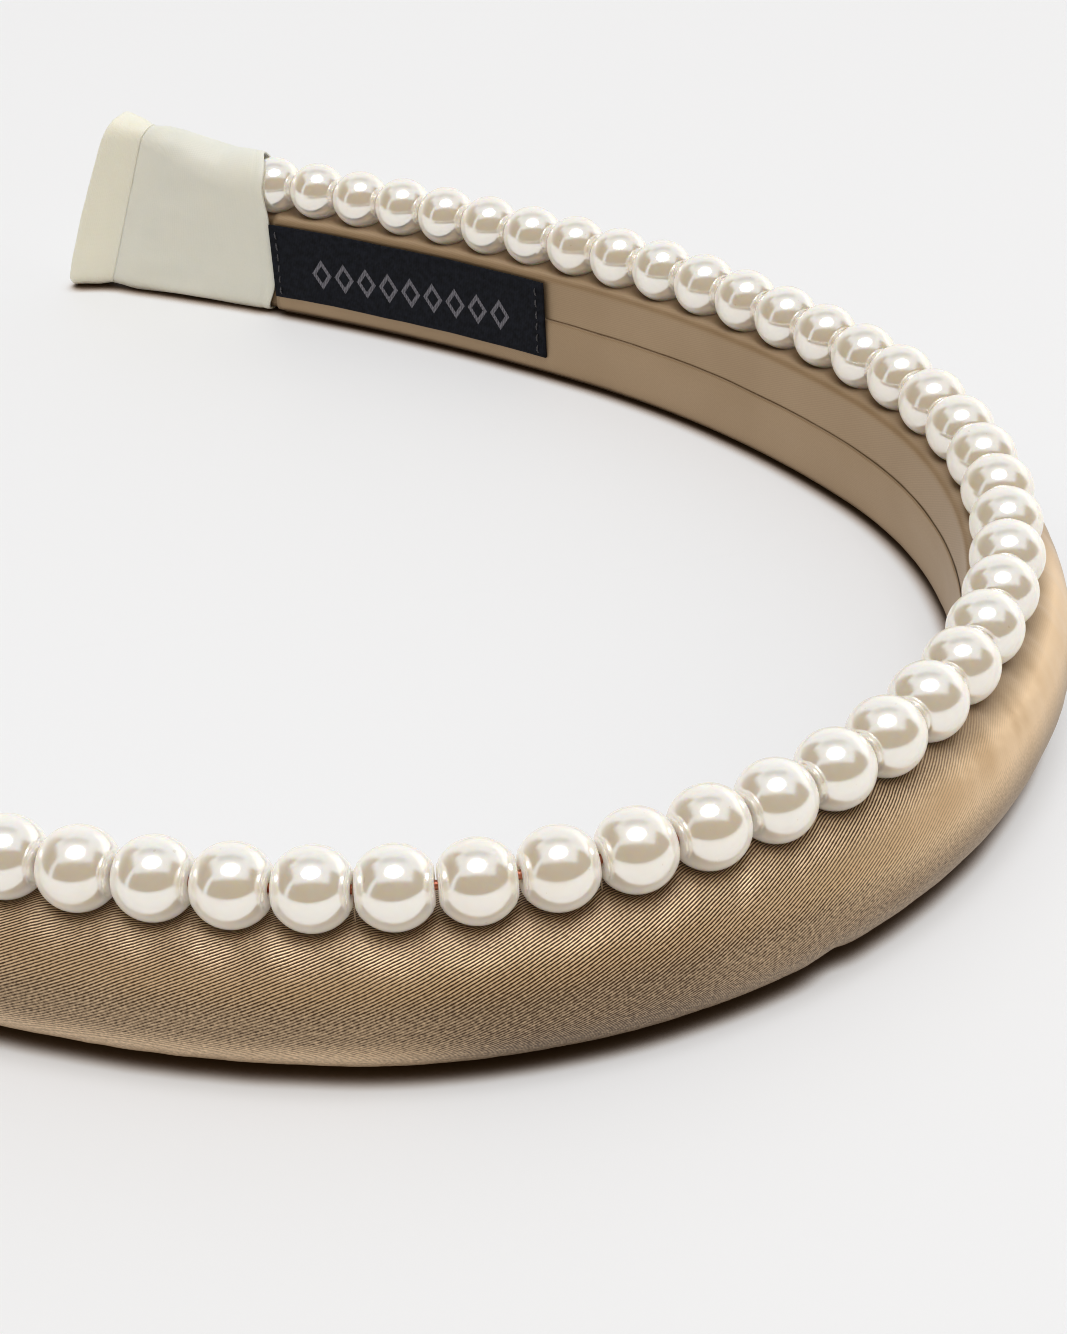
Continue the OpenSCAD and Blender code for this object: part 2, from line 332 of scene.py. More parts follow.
def satin_material(name, light, dark, pitch=0.245, angle=26.5):
    """Satin with raised diagonal twill lines, and light and shade painted into its tone.

    UVs are in millimetres. u runs along the band from the crown, negative on the left arm; v runs
    up the inner face (0-11), over the top (13-15) and down the belly to the table (37).
    """
    m = Mat(name)
    uv, u, v = m.uv()
    ca, sa = math.cos(math.radians(angle)), math.sin(math.radians(angle))
    wobble = m.mul(m.noise(uv, 0.15, 2.0), 1.3)
    across = m.add(m.add(m.mul(u, sa / pitch), m.mul(v, ca / pitch)), wobble)
    along = m.add(m.mul(u, ca), m.mul(v, -sa))
    line = m.wave(across, 1.0)
    streak = m.node("ShaderNodeCombineXYZ")
    m.wire(m.mul(across, 0.9), streak.inputs[0])
    m.wire(m.mul(along, 2.6), streak.inputs[1])
    yarn = m.sub(m.noise(streak.outputs[0], 1.0, 2.0, 0.65), 0.5)
    height = m.add(m.mul(line, 0.5), m.mul(yarn, 0.55))
    twill = m.sub(m.ramp(m.add(height, m.mul(yarn, 0.35)), -0.36, 0.38), 0.52)
    # the lines stand out on the left arm and fade into a smooth sheen past the crown
    keep = m.mul(m.ramp(u, -18.0, 6.0, 1.0, 0.04), m.ramp(v, 21.5, 25.5, 1.0, 0.38))
    # broad tones, with light and shade painted in: a painted highlight on the upper belly, painted
    # shade below it, and a painted reflection of the table low on the left arm
    mid_with_painted_light = m.add(m.ramp(v, 19.0, 21.5, 0.44, 0.57), m.ramp(v, 21.8, 24.4, 0.0, -0.23))
    left_arm = m.ramp(u, -60.0, -44.0, 1.0, 0.0)
    mid_with_painted_light = m.add(mid_with_painted_light, m.mul(m.ramp(v, 26.0, 29.2, 0.0, 0.44), left_arm))
    # painted shade low on the belly, toward the table
    mid_with_painted_light = m.add(mid_with_painted_light, m.ramp(v, 25.5, 29.5, 0.0, -0.06))
    # painted shade under the beads, along a stretch of the left arm
    painted_shade_patch = m.mul(m.ramp(u, -57.0, -46.0), m.ramp(u, -36.0, -26.0, -0.11, 0.0))
    mid_with_painted_light = m.add(mid_with_painted_light, m.mul(painted_shade_patch, m.ramp(v, 13.5, 16.0)))
    # painted highlight: a lighter patch of tone on the belly at the right bend
    painted_sheen = m.mul(m.ramp(u, -27.0, -4.0), m.ramp(u, 24.0, 38.0, 0.52, 0.0))
    painted_sheen = m.mul(painted_sheen, m.mul(m.ramp(v, 18.2, 21.4), m.ramp(v, 23.0, 27.0, 1.0, 0.0)))
    mid_with_painted_light = m.add(mid_with_painted_light, painted_sheen)
    # a broken grain takes over from the lines low on the belly
    grain = m.sub(m.noise(uv, 3.3, 1.0, 0.6), 0.5)
    grain = m.mul(grain, m.mul(m.ramp(v, 20.5, 25.0, 0.25, 1.0), m.ramp(u, -18.0, 10.0, 0.95, 0.22)))
    tone = m.add(m.mul(twill, keep), m.add(mid_with_painted_light, grain), clamp=True)
    height = m.add(m.mul(height, keep), m.mul(grain, 0.7))
    # painted shade: darker in the folds and right under the beads, from ambient occlusion
    tone = m.mul(tone, m.ramp(m.occlusion(3.5 * MM, 8), 0.35, 0.92, 0.58, 1.0))
    base = m.mix(tone, rgba(*dark), rgba(*light))
    cloud = m.ramp(m.noise(uv, 0.07, 2.0), 0.35, 0.7)
    cloudy_tint = m.mix(cloud, rgba(0.93, 0.92, 0.90), rgba(1.0, 1.0, 1.0))
    tint = m.node("ShaderNodeMix", data_type="RGBA", blend_type="MULTIPLY")
    tint.inputs[0].default_value = 1.0
    m.wire(base, tint.inputs[6])
    m.wire(cloudy_tint, tint.inputs[7])
    m.set(Base_Color=tint.outputs[2], Roughness=m.ramp(tone, 0.0, 1.0, 0.52, 0.36, "LINEAR"),
          Metallic=0.5, Anisotropic=0.4, Sheen_Weight=0.12, Sheen_Roughness=0.35,
          Sheen_Tint=rgba(1.0, 0.9, 0.75), Specular_IOR_Level=0.5,
          Normal=m.bump(height, 0.017 * MM, 1.0))
    tangent = m.node("ShaderNodeTangent", direction_type="UV_MAP", uv_map="weave")
    m.wire(tangent.outputs[0], m.bsdf.inputs["Tangent"])
    return m.m


def pearl_material():
    """Lacquered imitation pearl: a nacreous coat under a clear one, and a faint painted glow."""
    m = Mat("pearl_nacre")
    co = m.object_coords()
    tint = m.node("ShaderNodeAttribute", attribute_name="tint")
    cloud = m.noise(co, 420.0, 3.0)
    base = m.mix(tint.outputs["Fac"], rgba(0.94, 0.90, 0.84), rgba(0.945, 0.92, 0.87))
    base = m.mix(m.ramp(cloud, 0.4, 0.75, 0.0, 0.18), base, rgba(0.90, 0.83, 0.72))
    fine = m.noise(co, 9000.0, 2.0)
    broad = m.noise(co, 260.0, 2.0)
    speck = m.ramp(m.noise(co, 1500.0, 1.0), 0.76, 0.80, 0.0, 0.35)
    base = m.mix(speck, base, rgba(0.55, 0.47, 0.36))
    uneven = m.bump(broad, 0.05 * MM, 0.10)
    grainy = m.bump(fine, 0.003 * MM, 0.25, uneven)
    # the nacre's mirror fades toward the rim, where the cream body shows
    rim = m.node("ShaderNodeLayerWeight")
    rim.inputs["Blend"].default_value = 0.5
    shine = m.ramp(rim.outputs["Facing"], 0.25, 0.72, 0.66, 0.06)
    m.set(Base_Color=base, Roughness=m.ramp(cloud, 0.3, 0.7, 0.13, 0.18), Metallic=shine,
          Specular_IOR_Level=0.22, Subsurface_Weight=0.75, Subsurface_Scale=0.0028,
          Coat_Weight=0.16, Coat_Roughness=0.06, Coat_IOR=1.4,
          # painted glow: a faint cream emission that stands in for light coming through the bead
          Emission_Color=rgba(1.0, 0.87, 0.72), Emission_Strength=0.05,
          Sheen_Weight=0.5, Sheen_Roughness=0.35, Sheen_Tint=rgba(1.0, 0.92, 0.78),
          Subsurface_Radius=(1.0, 0.75, 0.45), Normal=grainy)
    return m.m


def thread_material(name, light, dark):
    m = Mat(name)
    fibre = m.noise(m.object_coords(), 1800.0, 3.0, 0.6)
    m.set(Base_Color=m.mix(m.ramp(fibre, 0.35, 0.65), rgba(*dark), rgba(*light)), Roughness=0.7,
          Sheen_Weight=0.3, Normal=m.bump(fibre, 0.03 * MM, 0.6))
    return m.m


def ribbon_material(name, light, dark, warm):
    """Smooth ivory ribbon with faint fine ribs and a little light coming through."""
    m = Mat(name)
    uv, u, v = m.uv()
    weave = m.add(m.mul(m.wave(u, 0.42), 0.6), m.mul(m.wave(v, 0.26), 0.25))
    cloud = m.noise(uv, 0.16, 3.0)
    fine = m.noise(uv, 3.2, 2.0)
    tone = m.ramp(m.add(cloud, m.mul(m.sub(fine, 0.5), 0.6)), 0.1, 0.9)
    base = m.mix(tone, rgba(*dark), rgba(*light))
    base = m.mix(m.ramp(m.noise(uv, 0.09, 1.0), 0.3, 0.8, 0.0, 0.3), base, rgba(*warm))
    m.set(Base_Color=base, Roughness=m.ramp(fine, 0.3, 0.7, 0.42, 0.56), Sheen_Weight=0.2,
          Subsurface_Weight=0.18, Subsurface_Scale=0.0012, Subsurface_Radius=(1.0, 0.8, 0.5),
          Normal=m.bump(weave, 0.012 * MM, 0.7))
    return m.m


def label_material():
    """Black woven tape with a plain band of grey lozenges."""
    m = Mat("label_weave")
    uv, u, v = m.uv()
    # v is the height above the label's lower edge; the motif runs along the middle
    du = m.math("ABSOLUTE", m.sub(m.math("FRACT", m.math("DIVIDE", u, LOZENGE)), 0.5))
    dv = m.math("ABSOLUTE", m.sub(m.math("DIVIDE", v, LABEL_H), 0.46))
    ring = m.math("ABSOLUTE", m.sub(m.add(du, m.mul(dv, 2.1)), 0.34))
    first = math.ceil((LABEL_END - LABEL_L + 3.0) / LOZENGE) * LOZENGE
    last = math.floor((LABEL_END - 3.0) / LOZENGE) * LOZENGE
    inside = m.mul(m.ramp(u, first - 0.05, first + 0.05), m.ramp(u, last - 0.05, last + 0.05, 1.0, 0.0))
    motif = m.mul(m.ramp(ring, 0.07, 0.11, 1.0, 0.0), inside)
    weave = m.add(m.mul(m.wave(u, 0.26), 0.5), m.mul(m.wave(v, 0.17), 0.5))
    broken = m.ramp(m.add(weave, m.noise(uv, 4.0, 2.0)), -0.3, 0.9, 0.15, 1.0)
    fluff = m.noise(uv, 1.2, 3.0)
    black = m.mix(m.ramp(fluff, 0.3, 0.7), rgba(0.002, 0.003, 0.006), rgba(0.008, 0.010, 0.017))
    grey = m.mix(broken, rgba(0.03, 0.03, 0.04), rgba(0.21, 0.21, 0.245))
    height = m.add(weave, m.mul(motif, 1.2))
    m.set(Base_Color=m.mix(motif, black, grey), Roughness=0.8, Specular_IOR_Level=0.18,
          Normal=m.bump(height, 0.02 * MM, 0.8))
    return m.m


def copper_material():
    m = Mat("copper_wire")
    wear = m.noise(m.object_coords(), 900.0, 3.0)
    m.set(Base_Color=m.mix(m.ramp(wear, 0.35, 0.7), rgba(0.36, 0.10, 0.06), rgba(0.66, 0.27, 0.17)),
          Metallic=0.9, Roughness=m.ramp(wear, 0.3, 0.7, 0.28, 0.46),
          Normal=m.bump(wear, 0.01 * MM, 0.4))
    return m.m


def foam_material():
    m = Mat("foam_cells")
    cells = m.node("ShaderNodeTexVoronoi")
    m.wire(m.object_coords(), cells.inputs["Vector"])
    cells.inputs["Scale"].default_value = 1600.0
    d = cells.outputs["Distance"]
    m.set(Base_Color=m.mix(m.ramp(d, 0.0, 0.7), rgba(0.62, 0.54, 0.36), rgba(0.88, 0.82, 0.66)),
          Roughness=0.9, Normal=m.bump(d, 0.12 * MM, 0.8))
    return m.m


def plastic_material():
    m = Mat("core_plastic")
    co = m.object_coords()
    cloud = m.noise(co, 300.0, 3.0)
    grain = m.noise(co, 4000.0, 2.0)
    m.set(Base_Color=m.mix(m.ramp(cloud, 0.3, 0.7), rgba(0.80, 0.76, 0.66), rgba(0.88, 0.85, 0.77)),
          Roughness=m.ramp(grain, 0.3, 0.7, 0.44, 0.56),
          Normal=m.bump(grain, 0.01 * MM, 0.4))
    return m.m


def crimp_material():
    m = Mat("crimp_steel")
    wear = m.noise(m.object_coords(), 2500.0, 3.0)
    m.set(Base_Color=m.mix(wear, rgba(0.42, 0.42, 0.43), rgba(0.7, 0.7, 0.7)), Metallic=1.0,
          Roughness=m.ramp(wear, 0.3, 0.7, 0.3, 0.5), Normal=m.bump(wear, 0.02 * MM, 0.5))
    return m.m


SATIN = satin_material("satin_champagne", (0.865, 0.64, 0.405), (0.070, 0.036, 0.014))
PEARL = pearl_material()
RIBBON = ribbon_material("ribbon_ivory", (0.88, 0.88, 0.775), (0.83, 0.845, 0.75),
                         (0.88, 0.855, 0.71))
# the lip's ribbon is a lighter copy of the wrap's, painted light where the turned lip faces the light
LIP_PAINTED_LIGHT = ribbon_material("ribbon_lip_painted_light", (0.96, 0.955, 0.82), (0.93, 0.925, 0.79), (0.96, 0.93, 0.76))
THREAD = thread_material("thread_tan", (0.42, 0.31, 0.20), (0.26, 0.18, 0.11))
DARK_THREAD = thread_material("thread_black", (0.06, 0.06, 0.07), (0.02, 0.02, 0.025))
LABEL = label_material()
COPPER = copper_material()
FOAM = foam_material()
CORE = plastic_material()
STEEL = crimp_material()

# ---------------------------------------------------------------- satin cover
BEAD_S = (np.arange(-BEADS, BEADS) + 0.5) * PITCH


def bending(piece, slot, *nodes):
    """A piece that runs through the crown: its frame parts are hidden and its transform baked in."""
    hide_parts(*nodes)
    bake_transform(piece)
    return piece


def riding(piece, side, node):
    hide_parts(node)
    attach(piece, SIDES[side] + "_half")
    return piece


def d_path(g=0.0, top=None):
    """The padding's D section shrunk by g, from the foot of the inner face upward."""
    r, R = 1.2 - g, HALF - g
    x0 = -INNER + g
    top = PAD_H - g if top is None else top
    cx = BELLY - HALF
    parts = [[(x0, g + r)], bow(x0 + r, PAD_H - g - r, r, 180, 90), [(cx, PAD_H - g)],
             bow(cx, HALF, R, 90, -90, 90), [(x0 + r, g)], bow(x0 + r, g + r, r, -90, -180)]
    path = np.vstack(parts)
    path[:, 1] = np.minimum(path[:, 1], top)
    return path


def push_from_beads(s, off, z, clear, soft=0.22):
    """Moves points out of every bead's sphere, with a soft edge; s, off, z are arrays in mm."""
    k = np.clip(np.round((s - BEAD_S[0]) / PITCH), 0, len(BEAD_S) - 1).astype(int)
    near = BEAD_S[k]
    p, n, _ = plan(s.ravel())
    pb, nb, tb = plan(near.ravel())
    xy = p + n * off.ravel()[:, None]
    rel = xy - pb
    lx, ly = (rel * tb).sum(1).reshape(s.shape), (rel * nb).sum(1).reshape(s.shape)
    lz = z - BEAD_Z
    d = np.sqrt(lx ** 2 + ly ** 2 + lz ** 2)
    over = (BEAD_R + clear - d) / soft
    push = soft * np.log1p(np.exp(np.clip(over, -30, 30)))
    grow = push / np.maximum(d, 0.1)
    return off + ly * grow, z + lz * grow


def cover():
    """Satin tube round the padding, with pulls, puckers and a dent under every bead."""
    cols = 124
    path, vs, total = sample_path(d_path(), cols)
    nrm = normals_2d(path)
    end, rows = PAD_END + 4.2, 641
    s = np.linspace(-end, end, rows)
    S, off, z = section_grid(s, path)
    V = np.repeat(vs[None], rows, 0)
    nx, nz = nrm[None, :, 0], nrm[None, :, 1]
    top = smooth(HALF + 1.5, PAD_H, z)
    outside = smooth(-1.0, 3.0, off)
    tucked = smooth(FULL_END - 0.7, FULL_END + 0.1, np.abs(S))
    # soft unevenness of satin pulled over foam, stronger on the belly
    swell = 0.09 * noise_grid(S / 11, V / 7, 1.0) + 0.04 * noise_grid(S / 3.2 + V / 9, V / 5, 5.0)
    swell *= 0.35 + 0.65 * outside
    # between beads the satin stands up, and pulls run down from each gap
    gap = 0.5 + 0.5 * np.cos(2 * np.pi * S / PITCH)
    fall = np.exp(-np.maximum(PAD_H - 0.4 - z, 0) / 2.2)
    swell += 0.34 * (gap - 0.45) * fall * smooth(-3.4, -1.5, off)
    # creases from the gaps, leaning with the weave
    lean = S + 0.55 * (PAD_H - z)
    crease = np.abs(noise_grid(lean / 2.3, z / 16, 9.0, 1))
    swell -= 0.11 * np.exp(-(crease / 0.10) ** 2) * outside * (0.25 + 0.75 * top)
    # a pucker low on the belly
    pucker = np.exp(-((S + 20.5) / 1.5) ** 2 - ((z - 1.6) / 2.0) ** 2)
    swell -= 0.40 * pucker * outside
    swell = np.clip(swell, -0.6, 0.42) * (1 - smooth(FULL_END - 5, FULL_END - 0.5, np.abs(S)))
    inset = 0.42 * tucked
    off = off + nx * (swell - inset)
    z = z + nz * (swell - inset)
    off, z = push_from_beads(S, off, z, 0.10)
    z = np.maximum(z, 0.0)
    pts = place(S, off, z)
    inner = place(S, off - nx * COVER_T, z - nz * COVER_T)
    n = rows * cols
    verts = np.concatenate([pts.reshape(-1, 3), inner.reshape(-1, 3)])
    faces = list(grid_faces(rows, cols)) + list(grid_faces(rows, cols, n, flip=True))
    uv = [grid_uvs(s, vs, total), grid_uvs(s, vs, total, flip=True)]
    # the two rims join the outside to the inside
    for row in (0, rows - 1):
        for j in range(cols):
            a, b = row * cols + j, row * cols + (j + 1) % cols
            quad = (a, b, n + b, n + a)
            faces.append(quad if row else quad[::-1])
            uv.append(np.array([[s[row], vs[j]]] * 4))
    ob = mesh_object("satin_cover", verts, faces, np.concatenate(uv), SATIN)
    return bending(ob, "satin", "cover_left", "cover_right")


def seam_flap():
    """Lapped edge of the satin on the inner face, its free edge folded under."""
    z0, z1 = 0.7, SEAM_Z
    lo, hi = -INNER - 0.34, -INNER - 0.03
    r = 0.15
    outline = np.vstack([[(hi, z0), (lo + 0.18, z0)], bow(lo + r, z0 + 0.5, r, 250, 180, 6),
                         [(lo, z1 - 2.6), (lo + 0.04, z1 - 1.8), (lo + 0.11, z1 - 1.0),
                          (lo + 0.19, z1 - 0.4), (hi - 0.05, z1), (hi, z1)]])
    path, vs, total = sample_path(outline, 40)
    s = np.linspace(-FULL_END, FULL_END, 401)
    S, off, z = section_grid(s, path)
    edge = smooth(4.0, z1, z)
    z = z + edge * 0.22 * noise_grid(S / 14, S * 0, 21.0)
    off = off - 0.05 * (off < -INNER - 0.1) * (noise_grid(S / 5, z / 3, 23.0) + 0.4)
    ob = loft("seam_flap", place(S, off, z)[:, ::-1], s, vs, total, SATIN)
    return bending(ob, "satin", "seam_flap_left", "seam_flap_right")


def core_strip():
    """Springy strip with a flared paddle at each end."""
    end = PAD_END + WRAP_LEN - 7
    s = np.concatenate([-np.linspace(end, PAD_END, 12), np.linspace(-PAD_END, PAD_END, 161)[1:-1],
                        np.linspace(PAD_END, end, 12)])
    x0, x1 = -INNER + 1.0, -INNER + 2.6
    # the strip's lower and upper edges, and what they grow to at the paddle's end
    strip, paddle = (HALF - 4.5, HALF + 4.5), (2.6, FLARE_H - 8)
    grow = smooth(PAD_END + 4, end, np.abs(s))
    lo, hi = [a + grow * (b - a) for a, b in zip(strip, paddle)]
    base, vs, total = sample_path(hull_path([(x, z, 0.3) for x in (0.3, 0.7) for z in (0.3, 0.7)]), 32)
    off = x0 + (x1 - x0) * base[None, :, 0] + 0 * s[:, None]
    z = lo[:, None] + (hi - lo)[:, None] * base[None, :, 1]
    ob = loft("core_strip", place(np.repeat(s[:, None], 32, 1), off, z), s, vs, total, CORE)
    return bending(ob, "core_plastic", "core_left", "core_right")


def foam_pad():
    """Foam inside the satin, hollowed a little under the beads."""
    path, vs, total = sample_path(d_path(0.95, top=11.7), 60)
    s = np.linspace(0.7 - FULL_END, FULL_END - 0.7, 161)
    S, off, z = section_grid(s, path)
    z = z + 0.05 * noise_grid(S / 4, vs[None] / 3, 31.0)
    ob = loft("foam_pad", place(S, off, z), s, vs, total, FOAM)
    return bending(ob, "foam", "foam_left", "foam_right")


# ---------------------------------------------------------------- bead string
def tube(name, centre, radius, sides, material, us=None):
    """Tube along a (n, 3) line in metres; radius in metres, a number or an array."""
    t = np.gradient(centre, axis=0)
    t /= np.linalg.norm(t, axis=1)[:, None]
    side = np.cross(t, [0, 0, 1.0])
    side /= np.linalg.norm(side, axis=1)[:, None]
    over = np.cross(side, t)
    a = np.linspace(0, 2 * math.pi, sides, endpoint=False)
    r = np.broadcast_to(radius, (len(centre),))[:, None, None]
    spoke = np.cos(a)[None, :, None] * side[:, None] + np.sin(a)[None, :, None] * over[:, None]
    us = np.arange(len(centre), dtype=float) if us is None else us
    vs = np.linspace(0, 1.0, sides, endpoint=False)
    return loft(name, centre[:, None] + r * spoke, us, vs, 1.0, material)


def copper_wire():
    """Wire through the beads, on into the wraps."""
    end = PAD_END + 8.5
    s = np.linspace(-end, end, 420)
    ob = tube("copper_wire", place(s, 0.0, BEAD_Z), WIRE_R * MM, 16, COPPER, s)
    return bending(ob, "wire", "wire_left", "wire_right")


def bead_profile():
    """Half outline of a bead: (along the hole, radius), from end to end."""
    cut = math.acos(2.84 / BEAD_R)  # where the ball meets the small collar round the hole
    a = np.linspace(cut, math.pi - cut, 31)
    ball = np.stack([BEAD_R * np.cos(a), BEAD_R * np.sin(a)], -1)
    neck = np.array([(2.4, 0.50), (2.88, 0.53), (3.02, 0.64), (3.085, 0.85), (3.10, 1.10),
                     (3.09, 1.35), (3.065, 1.55), (3.02, 1.67), (2.97, 1.75), (2.93, 1.80),
                     (2.90, 1.86), (2.88, 1.93)])
    return np.vstack([neck, ball, neck[::-1] * (-1, 1)])


def beads(name, which, node):
    """One mesh of beads, each a little out of line and out of round."""
    prof = bead_profile()
    rows, sides = len(prof), 56
    a = np.linspace(0, 2 * math.pi, sides, endpoint=False)
    # the bore's wall closes the profile from end to end
    near, far = np.arange(sides), (rows - 1) * sides + np.arange(sides)
    bore = np.stack([far, np.roll(far, -1), np.roll(near, -1), near], -1)
    quads = np.concatenate([grid_faces(rows, sides), bore])[:, ::-1]
    verts, faces, tints = [], [], []
    for k, s in enumerate(which):
        p, _, t = (q[0] for q in plan(s))
        along = Vector((t[0], t[1], 0)).normalized()
        along += Vector((rng.uniform(-1, 1), rng.uniform(-1, 1), rng.uniform(-1, 1))) * 0.018
        along.normalize()
        side = along.cross(Vector((0, 0, 1))).normalized()
        fat = 1 + rng.uniform(-0.012, 0.008)
        long = 1 + rng.uniform(-0.006, 0.003)
        lift = rng.uniform(-0.06, 0.06)
        x = prof[:, 0] * long
        r = (prof[:, 1] * np.where(prof[:, 1] > 2.15, fat, 1))[:, None]
        local = np.stack([np.repeat(x[:, None], sides, 1), r * np.cos(a), r * np.sin(a)], -1)
        turned = local @ np.array([along, side, side.cross(along)])
        verts.append((np.array([p[0], p[1], BEAD_Z + lift]) + turned).reshape(-1, 3) * MM)
        faces.append(quads + k * rows * sides)
        tints.append(np.full(rows * sides, rng.random()))
    ob = mesh_object(name, np.concatenate(verts), np.concatenate(faces), None, PEARL)
    attr = ob.data.attributes.new("tint", "FLOAT", "POINT")
    attr.data.foreach_set("value", np.concatenate(tints).astype(np.float32))
    return bending(ob, "pearl", node)


def couching_threads():
    """Fine thread over the wire in every third gap, its two strands down into the satin."""
    strand = np.array([(-0.95, 12.45), (-0.85, 13.2), (-0.68, 14.6), (-0.56, 15.9)])
    loop = np.vstack([strand, bow(0, BEAD_Z, 0.53, 170, 10, 11), strand[::-1] * (-1, 1), [(0.0, 12.2)]])
    loop, _, _ = sample_path(loop, 44)
    out = normals_2d(loop)
    rows, sides = len(loop), 8
    b = np.linspace(0, 2 * math.pi, sides, endpoint=False)
    up = np.array([0, 0, 1.0])
    # the loop is closed: one more row of quads joins its end to its start
    quads = grid_faces(rows + 1, sides) % (rows * sides)
    verts, faces = [], []
    for count, k in enumerate([*range(-24, 0, 3), *range(3, 25, 3)]):
        p, n, t = (np.append(q[0], 0.0) for q in plan(k * PITCH))
        line = p + loop[:, :1] * n + loop[:, 1:] * up
        away = out[:, :1] * n + out[:, 1:] * up
        ring = np.cos(b)[None, :, None] * away[:, None] + np.sin(b)[None, :, None] * t
        verts.append((line[:, None] + THREAD_R * ring).reshape(-1, 3) * MM)
        faces.append(quads + count * rows * sides)
    ob = mesh_object("couching_threads", np.concatenate(verts), np.concatenate(faces), None, THREAD)
    return bending(ob, "thread", "stitches_left", "stitches_right")


# ---------------------------------------------------------------- end wraps
BELLY_ARC = [(x, z, 0.0) for x, z in bow(BELLY - HALF, HALF, HALF, -90, 90, 61)]
MOUTH = [(TIP_IN + 4, WRAP_H - 4, 4.0), (TIP_IN + 1.5, 1.5, 1.5)] + BELLY_ARC


def box_circles(x0, x1, z1, r):
    return [(x, z, r) for x in (x0 + r, x1 - r) for z in (r, z1 - r)]


def even_rings(a, b, mixes, cols):
    """Sections between outlines a and b of matching points, each with cols even points."""
    return np.stack([sample_path(a * (1 - k) + b * k, cols)[0] for k in mixes])


def end_frame(side, y, off, z):
    """Points past the padding's end, whose y runs toward the tip."""
    pts = place(side * (PAD_END + y), off, z)
    return pts[:, ::-1] if side < 0 else pts


def end_wrap(side):
    """Ivory wrap, round at its mouth over the padding, flat and leaning back at its tip."""
    cols = 140
    mouth = hull_path(MOUTH)
    flat = hull_path(box_circles(TIP_IN, TIP_OUT, FLARE_H / math.cos(FLARE_LEAN), 2.1))
    ts = np.concatenate([np.linspace(-LAP, SLEEVE, 26), np.linspace(SLEEVE, WRAP_LEN, 50)[1:]])
    ts[1:4] = -LAP + np.array([0.1, 0.25, 0.5])
    k = np.clip((ts - SLEEVE) / (WRAP_LEN - SLEEVE), 0, 1)
    k = k + 0.10 * np.sin(math.pi * k) * (1 - k)
    sec = even_rings(mouth, flat, k, cols)
    _, vs, total = sample_path(mouth, cols)
    K = np.repeat(k[:, None], cols, 1)
    T = np.repeat(ts[:, None], cols, 1)
    V = np.repeat(vs[None], len(ts), 0)
    nrm = np.stack([normals_2d(q) for q in sec])
    # the flat end leans back
    Y = np.where(K > 0, SLEEVE + K * (WRAP_LEN - SLEEVE - sec[..., 1] * math.sin(FLARE_LEAN)), T)
    Z = sec[..., 1] * (1 - K * (1 - math.cos(FLARE_LEAN)))
    # the mouth's edge bows a little, and its roof is cut back past the last bead
    edge = 1 - smooth(-LAP, SLEEVE, T)
    roof = ROOF_CUT * smooth(-4.1, 3.0, sec[..., 0]) * smooth(12.0, 18.5, Z)
    bowed = 1.5 * (1 - smooth(0, 5, Z)) + 0.5 * smooth(12.5, 18, Z) + roof
    Y = Y + edge * bowed + 0.12 * edge * noise_grid(V / 6, T * 0, 90.0 + side)
    pull = smooth(0, WRAP_LEN * 0.7, T)
    seed = 40.0 + 7 * side
    wave = 0.07 * noise_grid(T / 6, V / 5, seed) + 0.13 * pull * noise_grid(T / 16, V / 3.4, seed + 3)
    # drawn folds run from the mouth to the flat end
    fold = noise_grid(V / 2.6 + T / 30, T / 40, seed + 11, 1)
    wave += 0.10 * pull * (1 - smooth(WRAP_LEN - 4, WRAP_LEN, T)) * fold
    hem = 0.08 * np.exp(-((T + LAP - 1.4) / 0.3) ** 2)
    rounded = 0.12 * (1 - smooth(-LAP, -LAP + 0.5, T))
    valley = VALLEY * smooth(WRAP_LEN - 4.5, WRAP_LEN + 0.6, T)
    d = wave - hem - rounded - valley
    (xi, zi), (xo, zo) = [(sec[..., 0] + nrm[..., 0] * g, Z + nrm[..., 1] * g)
                          for g in (d - WRAP_T + rounded, d)]
    zi, zo = np.maximum(zi, WRAP_T - 0.05), np.maximum(zo, 0.0)
    # one sheet: down the inside from the tip to the mouth, and back along the outside
    stack = [np.concatenate([q[::-1], r]) for q, r in ((Y, Y), (xi, xo), (zi, zo))]
    pts = end_frame(side, *stack)
    last = (len(pts) - 1) * cols
    us = np.concatenate([-ts[::-1], ts])
    # the rim at the tip joins the inside to the outside, under the lip
    rim = [(j, last + j, last + (j + 1) % cols, (j + 1) % cols) for j in range(cols)]
    faces = list(grid_faces(len(pts), cols)) + rim
    uv = np.concatenate([grid_uvs(us, vs, total)] + [np.array([[us[-1], v]] * 4) for v in vs])
    name = "end_wrap_" + SIDES[side]
    ob = mesh_object(name + "_ribbon", pts.reshape(-1, 3), faces, uv, RIBBON)
    return riding(ob, side, name)


